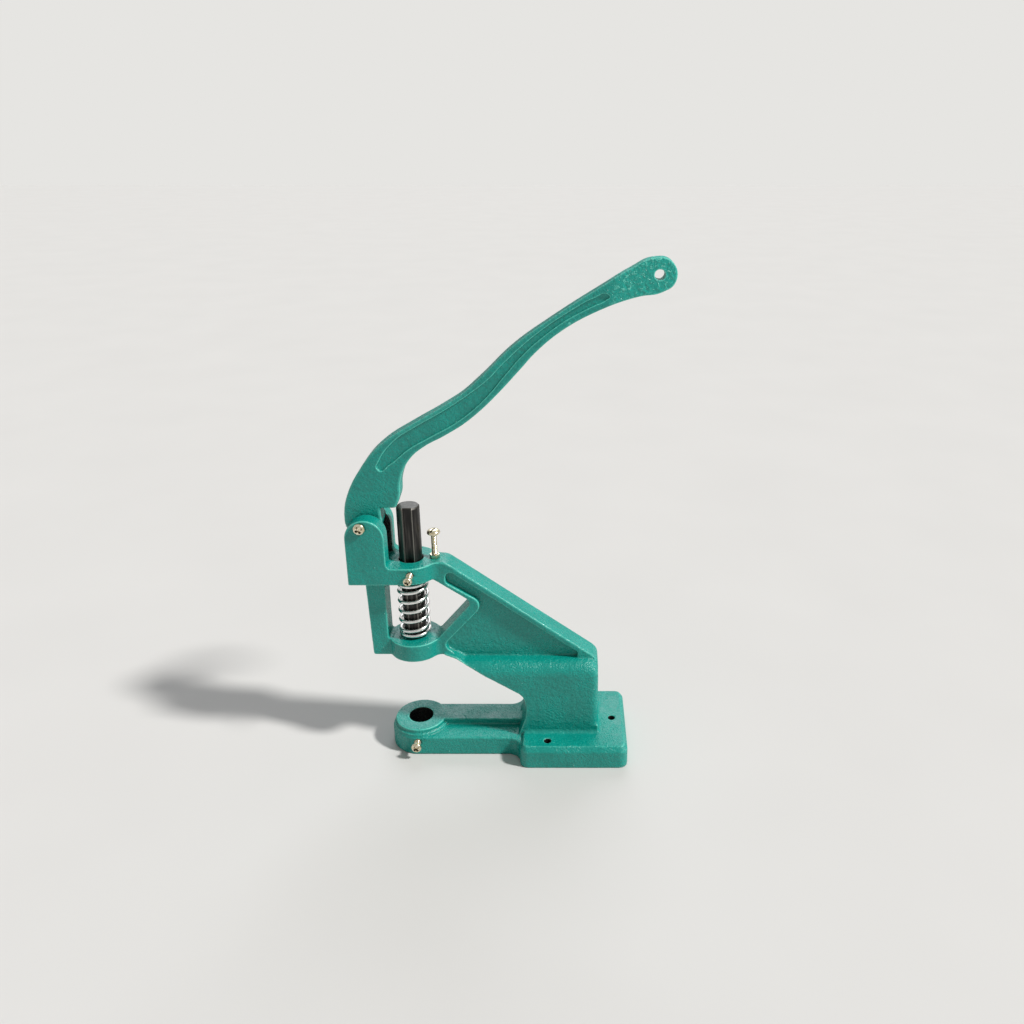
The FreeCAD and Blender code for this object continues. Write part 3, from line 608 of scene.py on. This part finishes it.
def cast_lever(enamel):
    """Hand lever with its hub, nose and side channels, and worms on its thumb paddle."""
    piece = soft_edged_copy("lever", "cast_lever", rounds=7)
    ream(piece, middle_of("pivot_screw"), (0, 1, 0), radius=2.6 * MM, reach=5.2 * MM)
    ream(piece, HANG_HOLE, (0, 1, 0), radius=2.9 * MM, reach=5.0 * MM)
    mark_paddle(piece)
    thin_lever(piece)
    bumps = bpy.data.textures.new("paddle_bumps", "DISTORTED_NOISE")
    bumps.noise_scale = 2.4 * MM
    bumps.distortion = 1.4
    finish_modifier(
        piece, "paddle_bumps", "DISPLACE", texture=bumps, texture_coords="LOCAL",
        strength=0.25 * MM, mid_level=0.45, vertex_group="paddle",
    )
    finish_modifier(piece, "soft_bumps", "SMOOTH", factor=0.4, iterations=1)
    work_on(piece)
    bpy.ops.object.shade_smooth()
    dress_piece(piece, enamel, "lever", "green_paint", "lever")


# Return spring


def wound_spring(wire):
    """Open helix with closed end turns, wound from the lower guide boss to the washer."""
    low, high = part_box("return_spring")
    wire_radius = 1.1 * MM
    mean_radius = high[X] - wire_radius
    turns = 6.9
    closed_below = 1.33
    closed_above = 1.0
    closed_pitch = 2.75 * MM
    bottom = low[Z] + wire_radius
    top = high[Z] - wire_radius
    open_turns = turns - closed_below - closed_above
    open_pitch = (top - bottom - closed_pitch * (closed_below + closed_above)) / open_turns
    start_angle = math.radians(83)
    points_per_turn = 32
    count = round(turns * points_per_turn)

    curve = bpy.data.curves.new("spring_line", "CURVE")
    curve.dimensions = "3D"
    curve.bevel_depth = wire_radius
    curve.bevel_resolution = 4
    curve.use_fill_caps = True
    line = curve.splines.new("POLY")
    line.points.add(count)
    for index, point in enumerate(line.points):
        turn = turns * index / count
        wound_open = min(max(turn - closed_below, 0.0), open_turns)
        height = bottom + closed_pitch * turn + (open_pitch - closed_pitch) * wound_open
        angle = start_angle + 2 * math.pi * turn
        point.co = (mean_radius * math.cos(angle), mean_radius * math.sin(angle), height, 1.0)
    piece = bpy.data.objects.new("wound_spring", curve)
    bpy.context.collection.objects.link(piece)
    work_on(piece)
    bpy.ops.object.convert(target="MESH")
    piece = bpy.context.object
    bpy.ops.object.shade_smooth_by_angle(angle=math.radians(50))
    dress_piece(piece, wire, "frame", "plated_spring", "return_spring")
    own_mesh(piece)


# Screws

PITCH = 0.7 * MM

# Round head from its seat to its top, in shares of its height and of its radius
ROUND_HEAD = (
    (0.0, 0.93), (0.12, 1.0), (0.42, 1.0), (0.66, 0.93), (0.86, 0.78), (0.96, 0.6), (1.0, 0.42),
)


def turned_bar(name, steps, sides):
    """Turned solid grown from its first end; steps are pairs of height and radius."""
    bpy.ops.object.select_all(action="DESELECT")
    bpy.ops.mesh.primitive_circle_add(
        vertices=sides, radius=steps[0][1], fill_type="NGON", location=(0, 0, steps[0][0]),
    )
    piece = bpy.context.object
    piece.name = name
    bpy.ops.object.transform_apply(location=True, rotation=False, scale=False)
    bpy.ops.object.mode_set(mode="EDIT")
    bpy.ops.mesh.select_all(action="SELECT")
    for (height, radius), (next_height, next_radius) in zip(steps, steps[1:]):
        bpy.ops.mesh.extrude_region_move(
            TRANSFORM_OT_translate={"value": (0, 0, next_height - height)},
        )
        ratio = next_radius / radius
        bpy.ops.transform.resize(value=(ratio, ratio, 1), center_override=(0, 0, 0))
    bpy.ops.mesh.select_all(action="SELECT")
    bpy.ops.mesh.normals_make_consistent(inside=False)
    bpy.ops.object.mode_set(mode="OBJECT")
    return piece


def cut_thread(piece, low, high, radius, depth):
    """Draws the shank's points in along a helix, which leaves a thread."""
    for vertex in piece.data.vertices:
        here = vertex.co
        if low < here.z < high and abs(math.hypot(here.x, here.y) - radius) < 0.02 * MM:
            phase = (here.z / PITCH - math.atan2(here.y, here.x) / (2 * math.pi)) % 1
            share = (radius - depth * (1 - abs(2 * phase - 1))) / radius
            vertex.co = (here.x * share, here.y * share, here.z)


def cut_bar(piece, length, width, depth, angle):
    """Cuts one straight bar of a driver recess into the head's top at height zero."""
    bpy.ops.object.select_all(action="DESELECT")
    bpy.ops.mesh.primitive_cube_add(
        size=1.0, location=(0, 0, 0), rotation=(0, 0, angle), scale=(length, width, 2 * depth),
    )
    cutter = bpy.context.object
    finish_modifier(
        piece, "recess", "BOOLEAN", operation="DIFFERENCE", object=cutter, solver="EXACT",
    )
    bpy.data.objects.remove(cutter)


def screw_piece(name, length, head_radius, head_height, shank_radius):
    """Screw along -Z with the top of its round head at height zero."""
    rings_per_pitch = 6
    tip = 0.4 * MM
    steps = [(-length, shank_radius * 0.75), (-length + tip, shank_radius)]
    shank_top = -head_height
    count = math.ceil((length - head_height - tip) / PITCH * rings_per_pitch)
    for index in range(1, count + 1):
        share = index / count
        steps.append((-length + tip + (shank_top + length - tip) * share, shank_radius))
    # The head's first ring stays just clear of the shank's last one
    clear = 0.0001 * MM
    for height, radius in ROUND_HEAD:
        steps.append((shank_top + head_height * height + clear, head_radius * radius))
    piece = turned_bar(name, steps, sides=40)
    thread_depth = 0.09 * shank_radius * 2
    cut_thread(piece, -length + 0.5 * MM, shank_top - 0.3 * MM, shank_radius, thread_depth)
    return piece


def set_screw_in(piece, place, faces_front):
    """Puts the screw's head at its place, facing -Y or up, and leaves the mesh there."""
    work_on(piece)
    piece.location = place
    if faces_front:
        piece.rotation_euler = (math.radians(90), 0, 0)
    bpy.ops.object.transform_apply(location=True, rotation=True, scale=True)
    bpy.ops.object.shade_smooth_by_angle(angle=math.radians(40))


def front_screw(name, node, body, plating, shank_radius, recess_turn):
    """Cross-recessed screw whose head faces -Y, fitted to the node that it stands for."""
    low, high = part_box(node)
    head_radius = (high[X] - low[X]) / 2
    piece = screw_piece(name, high[Y] - low[Y], head_radius, 2.2 * MM, shank_radius)
    for turn in (0, math.radians(90)):
        cut_bar(
            piece, length=1.25 * head_radius, width=0.42 * head_radius, depth=1.5 * MM,
            angle=recess_turn + turn,
        )
    set_screw_in(piece, ((low[X] + high[X]) / 2, low[Y], (low[Z] + high[Z]) / 2), True)
    dress_piece(piece, plating, body, "yellow_plated_screws", node)


def stop_screw(plating):
    """Upright slotted screw that ends the lever's stroke."""
    low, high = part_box("stop_screw")
    head_radius = (high[X] - low[X]) / 2
    piece = screw_piece("slotted_stop_screw", high[Z] - low[Z], head_radius, 2.6 * MM, 1.75 * MM)
    cut_bar(
        piece, length=3 * head_radius, width=0.9 * MM, depth=0.9 * MM, angle=math.radians(70),
    )
    set_screw_in(piece, ((low[X] + high[X]) / 2, (low[Y] + high[Y]) / 2, high[Z]), False)
    dress_piece(piece, plating, "stop_screw", "yellow_plated_screws", "stop_screw")


# The press

enamel = sand_cast_enamel("enamelled_frame_iron", "frame")
lever_enamel = sand_cast_enamel("enamelled_lever_iron", "lever")
black = blackened_steel()
wire = bright_spring_wire()
plating = yellow_zinc_plate()
steel = oiled_spring_steel()

plated_nodes = (
    "pivot_screw", "pivot_nut", "guide_screw", "die_clamp_screw", "stop_screw", "stop_lock_nut",
)
for material, names in (
    (enamel, ("frame_casting", "lever")),
    (black, ("ram",)),
    (wire, ("return_spring",)),
    (steel, ("retaining_ring", "spring_washer")),
    (plating, plated_nodes),
):
    for name in names:
        nodes[name].data.materials.clear()
        nodes[name].data.materials.append(material)

cast_frame(enamel)
cast_lever(lever_enamel)
wound_spring(wire)
for name, node, body, shank_radius, recess_degrees in (
    ("cross_pivot_screw", "pivot_screw", "frame", 2.5 * MM, 25),
    ("cross_guide_screw", "guide_screw", "frame", 2.0 * MM, 10),
    ("cross_clamp_screw", "die_clamp_screw", "die_clamp_screw", 2.0 * MM, 35),
):
    front_screw(name, node, body, plating, shank_radius, math.radians(recess_degrees))
stop_screw(plating)


# Studio


def sun(name, towards, strength, spread_degrees, colour):
    """Sun lamp that stands in a direction from the press."""
    light = bpy.data.lights.new(name, "SUN")
    light.energy = strength
    light.angle = math.radians(spread_degrees)
    light.color = linear(colour)[:3]
    lamp = bpy.data.objects.new(name, light)
    bpy.context.collection.objects.link(lamp)
    lamp.rotation_euler = Vector(towards).to_track_quat("Z", "Y").to_euler()


bpy.ops.object.select_all(action="DESELECT")
bpy.ops.mesh.primitive_plane_add(size=12.0, location=(0.0, 0.0, 0.0))
table = bpy.context.object
table.name = "table"
table.data.materials.append(pale_table_top())

# The room lights the press, and the camera and the gloss see a plain backdrop in its place
world = bpy.data.worlds.new("studio")
bpy.context.scene.world = world
world.use_nodes = True
sky = world.node_tree
sky.nodes.clear()
ways = add_node(sky, "ShaderNodeTexCoord").outputs["Generated"]
up = add_node(sky, "ShaderNodeSeparateXYZ", Vector=ways).outputs["Z"]
tone = lay_tint(sky, linear("A8A29A"), "E9E8E6", up, start=0.0, full=0.8)
room = add_node(sky, "ShaderNodeBackground", Color=tone, Strength=0.42)
path = add_node(sky, "ShaderNodeLightPath")
level = add_node(
    sky, "ShaderNodeMapRange", Value=path.outputs["Is Camera Ray"], To_Min=0.7, To_Max=1.0,
)
backdrop = add_node(
    sky, "ShaderNodeBackground", Color=linear("E6E5E2"), Strength=level.outputs[0],
)
seen = add_node(
    sky, "ShaderNodeMath", {"operation": "MAXIMUM"}, n0=path.outputs["Is Camera Ray"],
    n1=path.outputs["Is Glossy Ray"],
)
both = add_node(
    sky, "ShaderNodeMixShader", n0=seen.outputs[0], n1=room.outputs[0], n2=backdrop.outputs[0],
)
add_node(sky, "ShaderNodeOutputWorld", Surface=both.outputs[0])

sun("key_light", (0.75, -0.22, 0.75), 3.3, 6.0, "FFFCF8")
sun("back_light", (0.0, 0.8, 0.62), 0.85, 40.0, "F4F8FF")

# Camera fitted to the casting's edges and holes, in pixels of an image 1024 wide
image_size = 1024.0
focal_length = 885.0
optical_centre = (567.0, 450.0)
sensor = 36.0
pitch_degrees = 19.9
camera_data = bpy.data.cameras.new("camera")
camera_data.sensor_width = sensor
camera_data.lens = focal_length / image_size * sensor
camera_data.shift_x = (image_size / 2 - optical_centre[0]) / image_size
camera_data.shift_y = (optical_centre[1] - image_size / 2) / image_size
camera = bpy.data.objects.new("camera", camera_data)
bpy.context.collection.objects.link(camera)
camera.location = (92.9 * MM, -473.8 * MM, 367.6 * MM)
camera.rotation_euler = (math.radians(90.0 - pitch_degrees), 0.0, 0.0)
bpy.context.scene.camera = camera
bpy.context.scene.view_settings.view_transform = "Standard"
